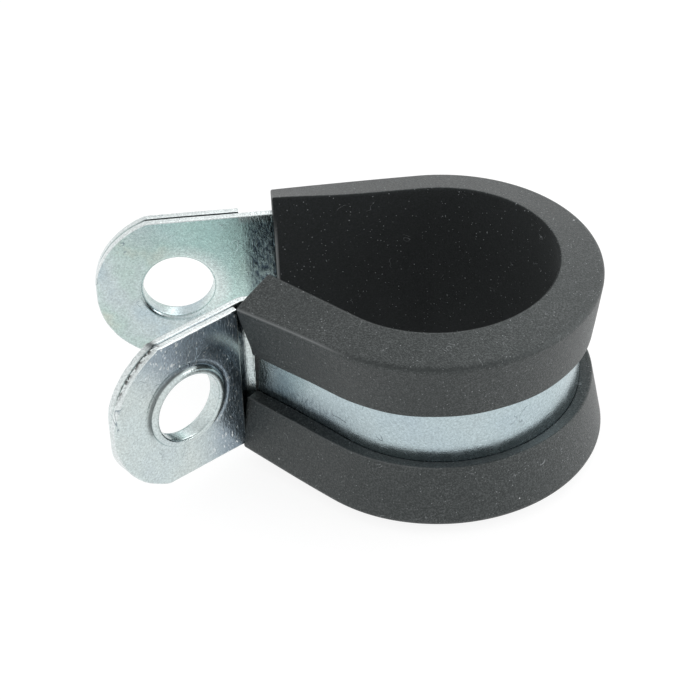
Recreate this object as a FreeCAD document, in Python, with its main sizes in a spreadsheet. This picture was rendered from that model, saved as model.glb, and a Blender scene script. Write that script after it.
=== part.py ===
"""Cushioned clamp: a folded steel band carried round a pipe in a rubber liner.

Frame: millimetres.  The origin is the centre of the round bore, half way up the
band's width.  +Z runs along the bore, and the rear leg and rear ear point along -X.
The clamp is drawn open, as it is sold, and lies on one side of its liner.
"""
import FreeCAD, Part
import Sketcher
import math
import os

SIZES = (
    ("band_width", 12.0, "width of the steel strip, along the bore"),
    ("band_thickness", 0.55, "thickness of the steel strip"),
    ("bore_radius", 8.55, "radius of the round part of the liner's inner face"),
    ("wrap_angle", 226.0, "degrees that the loop turns from the rear leg to the front leg"),
    ("rear_leg", 10.9, "straight liner between its rear end and the loop"),
    ("front_leg", 8.1, "straight liner between the loop and its front end"),
    ("rear_setback", 2.5, "bare band between the liner's rear end and the rear fold's cut end"),
    ("bend_setback", 0.25, "bare band between the liner's front end and the front bend"),
    ("bend_radius", 0.8, "inside radius of the front bend"),
    ("bend_angle", 80.0, "degrees that the front ear turns away from the front leg"),
    ("bend_to_hole", 5.45, "flat of the front ear from the end of the bend to its hole"),
    ("fold_length", 4.8, "folded ply of each ear, from its cut end to the hole"),
    ("tip_reach", 6.15, "hole to the folded tip of each ear"),
    ("fold_gap", 0.06, "gap between the two plies of an ear"),
    ("tip_radius", 6.4, "radius of the rounded end of each ear"),
    ("tip_land", 1.6, "width of the fold that the rounded end leaves uncut"),
    ("hole_diameter", 5.3, "clear hole through each ear"),
    ("collar_wall", 0.58, "wall of the collar drawn through both plies of an ear"),
    ("collar_height", 0.29, "height of the rolled collar above an ear's outer face"),
    ("collar_entry", 0.3, "flare of the collar's mouth on the inner face"),
    ("collar_break", 0.12, "broken edge inside the collar's crest"),
    ("liner_wall", 1.0, "rubber between the bore and the band"),
    ("liner_width", 15.56, "width of the rubber across its bore edges"),
    ("rim_width", 13.8, "width of the rubber across its outer rims"),
    ("rim_height", 3.25, "bore to the outer rim"),
    ("lip_height", 2.5, "bore to the outer face of a lip at its free edge"),
    ("lip_opening", 4.45, "opening between the free edges of the two lips"),
    ("lip_bevel", 0.25, "slant of each lip's free edge, towards its own rim"),
    ("band_clearance", 0.02, "clearance between the band and its groove"),
    ("bore_edge_break", 0.18, "broken edge where the bore meets a side of the liner"),
    ("rim_edge_radius", 0.45, "rounding along each outer rim"),
)

doc = FreeCAD.newDocument("cushioned_clamp")
sheet = doc.addObject("Spreadsheet::Sheet", "sizes")
for row, (alias, value, meaning) in enumerate(SIZES, 1):
    sheet.set("A%d" % row, alias)
    sheet.set("B%d" % row, str(value))
    sheet.set("C%d" % row, meaning)
    sheet.setAlias("B%d" % row, alias)
doc.recompute()

# Formulas of the band's own line, which runs along the middle of its thickness.
FOLD_RADIUS = "(sizes.band_thickness + sizes.fold_gap) / 2"
LOOP_RADIUS = "(sizes.bore_radius + sizes.liner_wall + sizes.band_thickness / 2)"
BEND_RADIUS = "(sizes.bend_radius + sizes.band_thickness / 2)"
TIP_INSET = "(sizes.band_thickness + sizes.fold_gap / 2)"
PLY_LENGTH = "(sizes.fold_length + sizes.tip_reach - " + TIP_INSET + ")"
REAR_RUN = "(sizes.rear_leg + sizes.rear_setback)"
FRONT_RUN = "(sizes.front_leg + sizes.bend_setback)"
FRONT_FLAT = "(sizes.bend_to_hole + sizes.tip_reach - " + TIP_INSET + ")"

# Formulas of the ears.  An angle is counted from +X, in degrees.
EAR_THICKNESS = "(2 * sizes.band_thickness + sizes.fold_gap)"
EAR_ANGLE = "(sizes.bend_angle - sizes.wrap_angle)"
INNER_FACE = "(sizes.bore_radius + sizes.liner_wall)"
HOLE_RADIUS = "(sizes.hole_diameter / 2)"
TIP_CENTRE = "(sizes.tip_reach - sqrt(sizes.tip_radius ^ 2 - (sizes.tip_land / 2) ^ 2))"

# Formulas of the liner's groove, which holds the band, and of its lips.
GROOVE_FLOOR = "(sizes.liner_wall - sizes.band_clearance)"
GROOVE_ROOF = "(sizes.liner_wall + sizes.band_thickness + sizes.band_clearance)"
GROOVE_SIDE = "(sizes.band_width / 2 + sizes.band_clearance)"
LIP_EDGE = "(sizes.lip_opening / 2)"


def measure(formula):
    """The number that a formula of the sheet's sizes gives."""
    return float(sheet.evalExpression(formula))


def heading(degrees):
    """Unit vector in the XY plane at an angle from +X."""
    return FreeCAD.Vector(math.cos(math.radians(degrees)), math.sin(math.radians(degrees)), 0)


def new_sketch(body, name, plane):
    """A sketch on the body's own origin plane that has this role."""
    sketch = body.newObject("Sketcher::SketchObject", name)
    support = [item for item in body.Origin.OriginFeatures if item.Role == plane]
    sketch.AttachmentSupport = [(support[0], "")]
    sketch.MapMode = "FlatFace"
    return sketch


def offset_sketch(sketch, x="0", y="0", z="0", turn="0", axis=FreeCAD.Vector(0, 0, 1)):
    """Move a sketch off its plane, and turn it, by formulas in the plane's own frame."""
    base = FreeCAD.Vector(measure(x), measure(y), measure(z))
    sketch.AttachmentOffset = FreeCAD.Placement(base, FreeCAD.Rotation(axis, measure(turn)))
    sketch.setExpression("AttachmentOffset.Base.x", x)
    sketch.setExpression("AttachmentOffset.Base.y", y)
    sketch.setExpression("AttachmentOffset.Base.z", z)
    if measure(turn):
        sketch.setExpression("AttachmentOffset.Rotation.Angle", turn)


def bind(sketch, kind, where, name, formula):
    """A named dimension of a sketch that follows a formula of the sheet's sizes."""
    value = measure(formula)
    if kind == "Angle":
        value = math.radians(value)
        formula += " * 1 deg"
    index = sketch.addConstraint(Sketcher.Constraint(kind, *where, value))
    sketch.renameConstraint(index, name)
    sketch.setExpression("Constraints." + name, formula)


def constrain(sketch, kind, *places):
    """The same geometric constraint at several places."""
    for place in places:
        sketch.addConstraint(Sketcher.Constraint(kind, *place))


def line(sketch, start, end):
    """Straight piece of a sketch."""
    sketch.addGeometry(Part.LineSegment(start, end))


def arc(sketch, centre, radius, start, end):
    """Arc of a sketch that runs anticlockwise between two angles in degrees."""
    circle = Part.Circle(centre, FreeCAD.Vector(0, 0, 1), radius)
    sketch.addGeometry(Part.ArcOfCircle(circle, math.radians(start), math.radians(end)))


def outline(sketch, points):
    """Closed outline of straight pieces through these points."""
    count = len(points)
    for number in range(count):
        line(sketch, points[number], points[(number + 1) % count])
    constrain(sketch, "Coincident", *[(number, 2, (number + 1) % count, 1) for number in range(count)])


def draw_band_path(body):
    """The strip's line: rear fold, rear leg, loop, front leg, bend and front fold.

    It starts at the cut end of the rear fold, runs to the rear tip and turns back on
    itself there.  The front ear does the same in reverse, after the bend.
    """
    fold = measure(FOLD_RADIUS)
    loop = measure(LOOP_RADIUS)
    bend = measure(BEND_RADIUS)
    ply = measure(PLY_LENGTH)
    leg_angle = -measure("sizes.wrap_angle")
    ear_angle = measure(EAR_ANGLE)
    outward = heading(ear_angle + 90)

    rear_cut = FreeCAD.Vector(-measure(REAR_RUN), loop + 2 * fold, 0)
    rear_tip = rear_cut - FreeCAD.Vector(ply, fold, 0)
    loop_end = heading(leg_angle + 90) * loop
    bend_start = loop_end + heading(leg_angle) * measure(FRONT_RUN)
    bend_centre = bend_start + heading(leg_angle + 90) * bend
    bend_end = bend_centre - outward * bend
    front_tip = bend_end + heading(ear_angle) * measure(FRONT_FLAT) + outward * fold
    front_cut = front_tip + outward * fold - heading(ear_angle) * ply

    path = new_sketch(body, "band_path", "XY_Plane")
    line(path, rear_cut, rear_tip + FreeCAD.Vector(0, fold, 0))
    arc(path, rear_tip, fold, 90, 270)
    line(path, rear_tip - FreeCAD.Vector(0, fold, 0), FreeCAD.Vector(0, loop, 0))
    arc(path, FreeCAD.Vector(), loop, 90 + leg_angle, 90)
    line(path, loop_end, bend_start)
    arc(path, bend_centre, bend, leg_angle - 90, ear_angle - 90)
    line(path, bend_end, front_tip - outward * fold)
    arc(path, front_tip, fold, ear_angle - 90, ear_angle + 90)
    line(path, front_tip + outward * fold, front_cut)
    constrain(path, "Tangent", (0, 2, 1, 1), (1, 2, 2, 1), (2, 2, 3, 2), (3, 1, 4, 1))
    constrain(path, "Tangent", (4, 2, 5, 1), (5, 2, 6, 1), (6, 2, 7, 1), (7, 2, 8, 1))
    constrain(path, "Coincident", (3, 3, -1, 1))
    constrain(path, "Horizontal", (0,), (2,))
    constrain(path, "Parallel", (6, 8))

    bind(path, "Distance", (0,), "rear_ply", PLY_LENGTH)
    bind(path, "Radius", (1,), "rear_fold", FOLD_RADIUS)
    bind(path, "Distance", (2,), "rear_run", REAR_RUN + " + " + PLY_LENGTH)
    bind(path, "Radius", (3,), "loop", LOOP_RADIUS)
    bind(path, "Angle", (3,), "loop_turn", "sizes.wrap_angle")
    bind(path, "Distance", (4,), "front_run", FRONT_RUN)
    bind(path, "Radius", (5,), "bend", BEND_RADIUS)
    bind(path, "Angle", (5,), "bend_turn", "sizes.bend_angle")
    bind(path, "Distance", (6,), "front_flat", FRONT_FLAT)
    bind(path, "Radius", (7,), "front_fold", FOLD_RADIUS)
    bind(path, "Distance", (8,), "front_ply", PLY_LENGTH)
    return path


def fold_strip(body):
    """The bent strip: its rectangular section carried along its line."""
    path = draw_band_path(body)
    section = new_sketch(body, "band_section", "YZ_Plane")
    offset_sketch(section, z="-" + REAR_RUN)
    inner = INNER_FACE + " + sizes.band_thickness + sizes.fold_gap"
    low = measure(inner)
    high = low + measure("sizes.band_thickness")
    half = measure("sizes.band_width / 2")
    corners = ((low, -half), (high, -half), (high, half), (low, half))
    outline(section, [FreeCAD.Vector(x, y, 0) for x, y in corners])
    constrain(section, "Horizontal", (0,), (2,))
    constrain(section, "Vertical", (3,))
    constrain(section, "Symmetric", (1, 1, 1, 2, -1))
    bind(section, "DistanceX", (-1, 1, 0, 1), "inner_face", inner)
    bind(section, "DistanceX", (0, 1, 0, 2), "thickness", "sizes.band_thickness")
    bind(section, "DistanceY", (1, 1, 1, 2), "width", "sizes.band_width")

    strip = body.newObject("PartDesign::AdditivePipe", "folded_strip")
    strip.Profile = section
    strip.Spine = (path, ["Edge%d" % (number + 1) for number in range(path.GeometryCount)])
    doc.recompute()


def cut_through(body, sketch, name):
    """Cut a sketch's outline through both plies of an ear."""
    before = body.Shape.Volume
    pocket = body.newObject("PartDesign::Pocket", name)
    pocket.Profile = sketch
    pocket.SideType = "Symmetric"
    pocket.setExpression("Length", "2 * " + EAR_THICKNESS)
    doc.recompute()
    if body.Shape.Volume >= before:
        raise ValueError(name + " cuts nothing")


def round_tip(body, ear, x, y, turn):
    """Shear the end of an ear round: what lies outside the arc goes, fold and all.

    x and y are the hole's place half way through the ear, and the sketch's own x axis
    points from the hole to the tip.
    """
    radius = measure("sizes.tip_radius")
    centre = measure(TIP_CENTRE)
    reach = measure("1.5 * sizes.tip_radius")
    tall = measure("1.25 * sizes.tip_radius")
    corners = [(centre, radius), (centre, tall), (reach, tall), (reach, -tall), (centre, -tall),
               (centre, -radius)]
    points = [FreeCAD.Vector(a, b, 0) for a, b in corners]
    tip = new_sketch(body, ear + "_tip_outline", "XZ_Plane")
    offset_sketch(tip, x=x, z="-(" + y + ")", turn=turn, axis=FreeCAD.Vector(0, 1, 0))
    for start, end in zip(points, points[1:]):
        line(tip, start, end)
    arc(tip, FreeCAD.Vector(centre, 0, 0), radius, -90, 90)
    constrain(tip, "Coincident", (0, 2, 1, 1), (1, 2, 2, 1), (2, 2, 3, 1), (3, 2, 4, 1))
    constrain(tip, "Coincident", (0, 1, 5, 2), (4, 2, 5, 1))
    constrain(tip, "Vertical", (0,), (4,))
    constrain(tip, "Horizontal", (1,), (3,))
    constrain(tip, "PointOnObject", (5, 3, -1), (5, 3, 0), (5, 3, 4))
    constrain(tip, "Symmetric", (2, 1, 2, 2, -1))
    bind(tip, "Radius", (5,), "tip_arc", "sizes.tip_radius")
    bind(tip, "DistanceX", (-1, 1, 5, 3), "tip_centre", TIP_CENTRE)
    bind(tip, "DistanceX", (-1, 1, 2, 1), "reach", "1.5 * sizes.tip_radius")
    bind(tip, "DistanceY", (2, 2, 2, 1), "tall", "2.5 * sizes.tip_radius")
    cut_through(body, tip, ear + "_tip")


def open_hole(body, ear, x, y, turn):
    """Open an ear's hole, out to half way between the collar's entry and its outside."""
    cut = HOLE_RADIUS + " + (sizes.collar_entry + sizes.collar_wall) / 2"
    hole = new_sketch(body, ear + "_hole_outline", "XZ_Plane")
    offset_sketch(hole, x=x, z="-(" + y + ")", turn=turn, axis=FreeCAD.Vector(0, 1, 0))
    hole.addGeometry(Part.Circle(FreeCAD.Vector(), FreeCAD.Vector(0, 0, 1), measure(cut)))
    constrain(hole, "Coincident", (0, 3, -1, 1))
    bind(hole, "Radius", (0,), "cut", cut)
    cut_through(body, hole, ear + "_hole")


def roll_collar(body, ear, x, y, turn):
    """Turn the collar that lines an ear's hole and stands proud of its outer face.

    x and y are the hole's place on the inner face, and the sketch's own y axis points
    from the inner face to the outer one.  The mouth on the inner face is flared, and
    the crest is rolled over towards the ear.
    """
    thick = measure(EAR_THICKNESS)
    inner = measure(HOLE_RADIUS)
    outer = inner + measure("sizes.collar_wall")
    entry = measure("sizes.collar_entry")
    edge = measure("sizes.collar_break")
    roll = measure("sizes.collar_height")
    crest = thick + roll
    corners = (
        (inner + entry, 0), (inner, entry), (inner, crest - edge), (inner + edge, crest),
        (outer - roll, crest), (outer, thick), (outer, 0),
    )
    points = [FreeCAD.Vector(a, b, 0) for a, b in corners]
    collar = new_sketch(body, ear + "_collar_section", "XY_Plane")
    offset_sketch(collar, x=x, y=y, turn=turn)
    for number in (0, 1, 2, 3):
        line(collar, points[number], points[number + 1])
    arc(collar, FreeCAD.Vector(outer - roll, thick, 0), roll, 0, 90)
    line(collar, points[5], points[6])
    line(collar, points[6], points[0])
    constrain(collar, "Coincident", (0, 2, 1, 1), (1, 2, 2, 1), (2, 2, 3, 1), (5, 2, 6, 1), (6, 2, 0, 1))
    constrain(collar, "Tangent", (3, 2, 4, 2), (4, 1, 5, 1))
    constrain(collar, "Vertical", (1,), (5,))
    constrain(collar, "Horizontal", (3,), (6,))
    constrain(collar, "PointOnObject", (6, 1, -1))
    bind(collar, "DistanceX", (-1, 1, 1, 1), "hole", HOLE_RADIUS)
    bind(collar, "DistanceX", (-1, 1, 6, 1), "outside", HOLE_RADIUS + " + sizes.collar_wall")
    bind(collar, "DistanceX", (0, 2, 0, 1), "flare", "sizes.collar_entry")
    bind(collar, "DistanceY", (0, 1, 0, 2), "flare_depth", "sizes.collar_entry")
    bind(collar, "DistanceX", (2, 1, 2, 2), "broken_edge", "sizes.collar_break")
    bind(collar, "DistanceY", (2, 1, 2, 2), "broken_depth", "sizes.collar_break")
    bind(collar, "Radius", (4,), "roll", "sizes.collar_height")
    bind(collar, "DistanceY", (-1, 1, 5, 1), "outer_face", EAR_THICKNESS)

    before = body.Shape.Volume
    ring = body.newObject("PartDesign::Revolution", ear + "_collar")
    ring.Profile = collar
    ring.ReferenceAxis = (collar, ["V_Axis"])
    ring.Angle = 360
    doc.recompute()
    if body.Shape.Volume <= before:
        raise ValueError(ear + " collar adds nothing")


def front_hole(proud):
    """Formulas of the front hole's x and y at a height above the ear's inner face.

    They follow the strip's line from the loop's centre: out to the bend's centre,
    along the front run, back to the ear and along the ear's flat.
    """
    leg = "sizes.wrap_angle"
    ear = "(sizes.wrap_angle - sizes.bend_angle)"
    out = "(" + LOOP_RADIUS + " + " + BEND_RADIUS + ")"
    back = "(" + BEND_RADIUS + " + sizes.band_thickness / 2 - " + proud + ")"
    x = "%s * sin(%s) + %s * cos(%s)" % (out, leg, FRONT_RUN, leg)
    x += " + sizes.bend_to_hole * cos(%s) - %s * sin(%s)" % (ear, back, ear)
    y = "%s * cos(%s) - %s * sin(%s)" % (out, leg, FRONT_RUN, leg)
    y += " - sizes.bend_to_hole * sin(%s) - %s * cos(%s)" % (ear, back, ear)
    return x, y


def make_band():
    """Steel band: one strip with two folded ears, each with a collared hole."""
    body = doc.addObject("PartDesign::Body", "steel_band")
    body.Label = "steel_band"
    fold_strip(body)
    middle = EAR_THICKNESS + " / 2"
    rear = "-(" + REAR_RUN + " + sizes.fold_length)"
    round_tip(body, "rear", rear, INNER_FACE + " + " + middle, "180")
    open_hole(body, "rear", rear, INNER_FACE + " + " + middle, "180")
    roll_collar(body, "rear", rear, INNER_FACE, "0")
    round_tip(body, "front", *front_hole(middle), EAR_ANGLE)
    open_hole(body, "front", *front_hole(middle), EAR_ANGLE)
    roll_collar(body, "front", *front_hole("0"), EAR_ANGLE)
    return body


def draw_liner_path(body):
    """The liner's line along its bore: rear leg, loop and front leg."""
    radius = measure("sizes.bore_radius")
    leg_angle = -measure("sizes.wrap_angle")
    loop_end = heading(leg_angle + 90) * radius
    front_end = loop_end + heading(leg_angle) * measure("sizes.front_leg")
    path = new_sketch(body, "liner_path", "XY_Plane")
    line(path, FreeCAD.Vector(-measure("sizes.rear_leg"), radius, 0), FreeCAD.Vector(0, radius, 0))
    arc(path, FreeCAD.Vector(), radius, 90 + leg_angle, 90)
    line(path, loop_end, front_end)
    constrain(path, "Tangent", (0, 2, 1, 2), (1, 1, 2, 1))
    constrain(path, "Coincident", (1, 3, -1, 1))
    constrain(path, "Horizontal", (0,))
    bind(path, "Distance", (0,), "rear_leg", "sizes.rear_leg")
    bind(path, "Radius", (1,), "bore", "sizes.bore_radius")
    bind(path, "Angle", (1,), "bore_turn", "sizes.wrap_angle")
    bind(path, "Distance", (2,), "front_leg", "sizes.front_leg")
    return path


def round_corner(before, corner, after, radius):
    """Where a round of this radius starts, ends and has its centre at a corner."""
    back = (before - corner).normalize()
    on = (after - corner).normalize()
    half = back.getAngle(on) / 2
    centre = corner + (back + on).normalize() * (radius / math.sin(half))
    run = radius / math.tan(half)
    return corner + back * run, corner + on * run, centre


def draw_liner_section(body):
    """The liner's C section, of which the lower half mirrors the upper one.

    Its x axis is the height above the bore's centre line, and its y axis lies along Z.
    The outline's pieces are numbered from the bore's upper edge, round the rim, the
    lip and the groove to the middle, and on through the mirrored half.
    """
    start = "sizes.bore_radius + "
    corners = {
        0: ("bore_face", start + "0", "sizes.liner_width / 2 - sizes.bore_edge_break"),
        1: ("bore_edge", start + "sizes.bore_edge_break", "sizes.liner_width / 2"),
        4: ("lip_edge", start + "sizes.lip_height", LIP_EDGE),
        5: ("lip_root", start + GROOVE_ROOF, LIP_EDGE + " + sizes.lip_bevel"),
        6: ("groove_roof", start + GROOVE_ROOF, GROOVE_SIDE),
        7: ("groove_floor", start + GROOVE_FLOOR, GROOVE_SIDE),
    }
    rim = FreeCAD.Vector(measure(start + "sizes.rim_height"), measure("sizes.rim_width / 2"), 0)
    above = {key: FreeCAD.Vector(measure(x), measure(y), 0) for key, (name, x, y) in corners.items()}
    above[2], above[3], centre = round_corner(above[1], rim, above[4], measure("sizes.rim_edge_radius"))
    points = [above[key] for key in range(8)]
    points += [FreeCAD.Vector(point.x, -point.y, 0) for point in reversed(points)]

    section = new_sketch(body, "liner_section", "YZ_Plane")
    offset_sketch(section, z="-sizes.rear_leg")
    count = len(points)
    for number in range(count):
        if number == 2:
            round_between(section, centre, points[3], points[2])
        elif number == 12:
            round_between(section, FreeCAD.Vector(centre.x, -centre.y, 0), points[13], points[12])
        else:
            line(section, points[number], points[(number + 1) % count])
    section.addGeometry(Part.Point(rim), True)

    # Joints of the outline: both rims run smoothly into their neighbours.
    plain = [number for number in range(count) if number not in (1, 2, 11, 12)]
    constrain(section, "Coincident", *[(number, 2, (number + 1) % count, 1) for number in plain])
    constrain(section, "Coincident", (12, 1, 13, 1))
    constrain(section, "Tangent", (1, 2, 2, 2), (2, 1, 3, 1), (11, 2, 12, 2))
    constrain(section, "PointOnObject", (count, 1, 1), (count, 1, 3))
    ends = {number: (number, 1) for number in range(count)}
    ends[2] = (1, 2)
    ends[12] = (11, 2)
    constrain(section, "Symmetric", *[(*ends[key], *ends[count - 1 - key], -1) for key in range(8)])
    for key, (name, x, y) in corners.items():
        bind(section, "DistanceX", (-1, 1, key, 1), name + "_height", x)
        bind(section, "DistanceY", (-1, 1, key, 1), name + "_side", y)
    bind(section, "DistanceX", (-1, 1, count, 1), "rim_height", start + "sizes.rim_height")
    bind(section, "DistanceY", (-1, 1, count, 1), "rim_side", "sizes.rim_width / 2")
    bind(section, "Radius", (2,), "rim_round", "sizes.rim_edge_radius")
    return section


def round_between(sketch, centre, start, end):
    """Arc of a sketch about a centre that runs anticlockwise from one point to another."""
    first = math.degrees(math.atan2(start.y - centre.y, start.x - centre.x))
    last = math.degrees(math.atan2(end.y - centre.y, end.x - centre.x))
    arc(sketch, centre, centre.distanceToPoint(start), first, last)


def make_liner():
    """Rubber liner: a C section that grips both edges of the band, carried along the bore."""
    body = doc.addObject("PartDesign::Body", "rubber_liner")
    body.Label = "rubber_liner"
    path = draw_liner_path(body)
    section = draw_liner_section(body)
    sweep = body.newObject("PartDesign::AdditivePipe", "liner_sweep")
    sweep.Profile = section
    sweep.Spine = (path, ["Edge%d" % (number + 1) for number in range(path.GeometryCount)])
    doc.recompute()
    return body


pieces = [make_band(), make_liner()]
doc.recompute()

for item in doc.Objects:
    if "Invalid" in item.State or "Error" in item.State:
        raise ValueError(item.Name + " failed")
for piece in pieces:
    if piece.Shape.isNull() or not piece.Shape.isValid() or len(piece.Shape.Solids) != 1:
        raise ValueError(piece.Label + " is not one valid solid")

os.makedirs("parts", exist_ok=True)
for piece in pieces:
    piece.Shape.exportStep("parts/%s.step" % piece.Label)
    print(piece.Label, "volume %.1f mm3" % piece.Shape.Volume, "area %.1f mm2" % piece.Shape.Area)
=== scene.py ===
"""Looks of the cushioned clamp: a zinc-plated steel band with folded, collared ears,
wrapped round its bore in a black rubber liner.

Every length named in this script is in millimetres, and it is turned into metres when
a mesh, a lamp or the camera is made.  The frame is the model's own: the origin is the
centre of the round bore, +Z runs along the bore, and the rear ear points along -X.
"""
import bmesh
import bpy
import math
import numpy as np
from mathutils import Matrix, Vector


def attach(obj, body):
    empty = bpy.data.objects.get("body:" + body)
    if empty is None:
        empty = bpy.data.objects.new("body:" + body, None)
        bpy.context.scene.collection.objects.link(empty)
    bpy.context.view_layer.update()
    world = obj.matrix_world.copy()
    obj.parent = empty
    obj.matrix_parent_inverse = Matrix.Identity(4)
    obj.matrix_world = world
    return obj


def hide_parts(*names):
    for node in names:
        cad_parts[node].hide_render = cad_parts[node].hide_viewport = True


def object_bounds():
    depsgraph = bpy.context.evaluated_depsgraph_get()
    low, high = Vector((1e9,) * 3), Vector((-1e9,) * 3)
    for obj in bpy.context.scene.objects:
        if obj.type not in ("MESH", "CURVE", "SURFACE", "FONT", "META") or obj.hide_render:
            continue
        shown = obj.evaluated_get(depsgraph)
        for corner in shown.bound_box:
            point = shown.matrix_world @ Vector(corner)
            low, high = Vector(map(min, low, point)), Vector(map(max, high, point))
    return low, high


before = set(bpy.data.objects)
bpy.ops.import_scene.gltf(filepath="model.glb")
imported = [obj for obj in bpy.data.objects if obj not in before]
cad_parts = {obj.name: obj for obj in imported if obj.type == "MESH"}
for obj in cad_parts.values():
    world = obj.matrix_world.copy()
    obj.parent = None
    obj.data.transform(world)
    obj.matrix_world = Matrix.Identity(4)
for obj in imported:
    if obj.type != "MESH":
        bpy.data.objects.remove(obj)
cad_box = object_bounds()

# A millimetre, the way up, a hair for comparing lengths and how near points are merged.
MM = 0.001
UP = np.array([0, 0, 1])
HAIR = 1e-6
MERGE = 0.0002

# The line of the bore: rear leg, round loop and front leg.
BORE = 8.55
WRAP = 226.0
REAR_LEG = 10.9
FRONT_LEG = 8.1

# The steel strip and its two ears.
BAND_WIDTH = 12.0
THICK = 0.55
FOLD_GAP = 0.06
LINER_WALL = 1.0
REAR_SETBACK = 2.5
BEND_SETBACK = 0.25
BEND_RADIUS = 0.8
BEND_ANGLE = 80.0
BEND_TO_HOLE = 5.45
FOLD_LENGTH = 4.8
TIP_REACH = 6.15
TIP_RADIUS = 6.4
TIP_LAND = 1.6
EAR_THICK = 2 * THICK + FOLD_GAP
TIP_CENTRE = TIP_REACH - math.sqrt(TIP_RADIUS ** 2 - (TIP_LAND / 2) ** 2)
SHOULDER = TIP_CENTRE + math.sqrt(TIP_RADIUS ** 2 - (BAND_WIDTH / 2) ** 2)

# The front ear's turn, and how far its hole lies along the strip from the rear ear's cut line.
EAR_TURN = WRAP - BEND_ANGLE
STRAIGHT = FRONT_LEG + BEND_SETBACK
FRONT_HOLE_WALK = (REAR_LEG + REAR_SETBACK + math.radians(WRAP) * (BORE + LINER_WALL) + STRAIGHT
                   + math.radians(BEND_ANGLE) * (BEND_RADIUS + THICK) + BEND_TO_HOLE)

# The collar of each hole, and the ring that its punch pressed round it.
HOLE = 2.65
COLLAR_WALL = 0.58
COLLAR_HEIGHT = 0.29
COLLAR_ENTRY = 0.3
COLLAR_BREAK = 0.12
COLLAR_ROOT = 0.08
PRESS_RING = 0.42
PRESS_DEPTH = 0.03

# Edges of the strip: their rounding, and how deep the seam between two plies shows.
EDGE_ROUND = 0.06
SEAM_ROUND = 0.09
SEAM_RUN = 1.6 * SEAM_ROUND
SEAM_DEPTH = 0.2

# Where the seam shuts: in half thicknesses of the ear before its tip, and nearly, past its shoulder.
SHUT_AT_TIP = np.array([1.6, 0.9])
SHUT_AT_SHOULDER = np.array([0.8, -0.4])

# Two faces that meet at more degrees than this have a sharp edge between them.
SHARP = 50.0

# What the shears left along the rim: its chatter, the burr at one corner and the torn width.
SHEAR_CHATTER = 0.008
BURR = 0.07
BURR_REACH = 0.3
TORN_WIDTH = 0.25

# Where marks on the strip come and go: millimetres on from the rear ear's cut line.
GRIP_COMES = (0.0, 0.9)
GRIP_GOES = (3.6, 2.6)
TEAL_GOES = (5.0, 0.0)
LOOP_COMES = (4.0, 6.0)

# Where they come and go before the front ear's cut line, and across the strip's width.
LOOP_GOES = (3.5, 5.5)
# The next four place painted darkening, a painted dark reflection, on the front leg's outer side and in the
# bend.
DARKENING_COMES = (15.0, 6.0)
DARKENING_GOES = (2.2, 3.2)
DARKENING_ACROSS = (1.2, -1.6)
BEND_DARK = (1.3, 0.7)
BRUSH_COMES = (4.5, 3.0)

# How the ears' marks lie about the hole: along the tip's axis, or a mix of it and up.
NEAR_FOLD = (-2.0, -4.3)
# The next two place the painted dark reflection on the front ear's outer face.
REFLECTION_SLANT = (2.0, -3.5)
REFLECTION_FOLD = (0.0, -3.6)
TEAL_SLANT = (1.0, -3.5)
ROOT_SHADE = np.array([0.75, 0.66])
ROOT_TURN = (0.2, 0.75)

# The rubber's half section: height above the bore and half width along the bore.
BORE_SIDE = 7.78
RIM = np.array([3.25, 6.9])
RIM_ROUND = 0.45
LIP_EDGE = np.array([2.5, 2.225])
LIP_ROOT = np.array([1.57, 2.475])
LIP_ROUND = 0.12
GROOVE_SIDE = 6.02
GROOVE_FLOOR = 0.98
BORE_ROUND = 0.2
CUT_ROUND = 0.12
LIP_ROOT_ROUND = 0.05

# How the rubber departs from that section: rims drawn in towards both ends, and uneven lips.
END_REACH = 12.0
REAR_DRAW = 0.18
FRONT_DRAW = 0.64
LIP_WANDER = 0.018
LIP_LIFT = 0.015
LIP_HEIGHT = (1.4, 2.4)
LIP_SIDE = (4.2, 2.4)

# Its rim's corners grow crisp, its bore's rear edge flares and its lower lip's root rises.
CRISP = 0.55
CRISP_COMES = (14.0, 7.0)
CRISP_ROUND = (0.5, 0.0)
FLARE = 0.45
FLARE_GOES = (6.5, -0.5)
FLARE_SIDE = (6.2, BORE_SIDE)
ROOT_RISE = 0.42
ROOT_COMES = (15.0, 2.5)
ROOT_LOWEST = 1.3
ROOT_HEIGHT = (2.35, 1.7)
ROOT_SIDE = (3.0, 2.6)

# Its front end is cut askew: how far the upper lip, the upper rim and the lower half stand out.
SKEW_REACH = 3.0
SKEW_SIDE = (2.2, 6.2)
LIP_SKEW = -0.2
RIM_SKEW = 0.38
LOWER_SKEW = 0.65

# Lines on the rubber: painted shade in a crease beside the rims' corners, and pale ones: a
# moulding line on those corners and a painted highlight on the lower lip, which come before
# the front end, and a painted highlight beside the rear cut end.
CREASE_STEP = np.array([0.16, 0.1])
CREASE_WIDTH = (0.16, 0.04)
RIM_LINE_COMES = (10.0, 7.0)
LIP_LINE_COMES = (17.0, 12.0)
LIP_LINE_WIDTH = (0.13, 0.05)
REAR_LINE_WIDTH = (0.2, 0.1)
REAR_LINE_HEIGHT = (0.4, 0.1)
REAR_LINE_SIDE = (6.5, 3.5)


def out(degrees):
    """Outward unit vector of the loop after it has turned by an angle: (sin, cos, 0)."""
    angle = np.radians(degrees)
    return np.stack([np.sin(angle), np.cos(angle), np.zeros_like(angle)], -1)


def along(degrees):
    """Unit vector along the loop after it has turned by an angle: (cos, -sin, 0)."""
    angle = np.radians(degrees)
    return np.stack([np.cos(angle), -np.sin(angle), np.zeros_like(angle)], -1)


def ease(low, high, value):
    """Smooth step: 3t^2 - 2t^3 of the share t of the way from low to high."""
    share = np.clip((value - low) / (high - low), 0, 1)
    return share * share * (3 - 2 * share)


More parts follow.
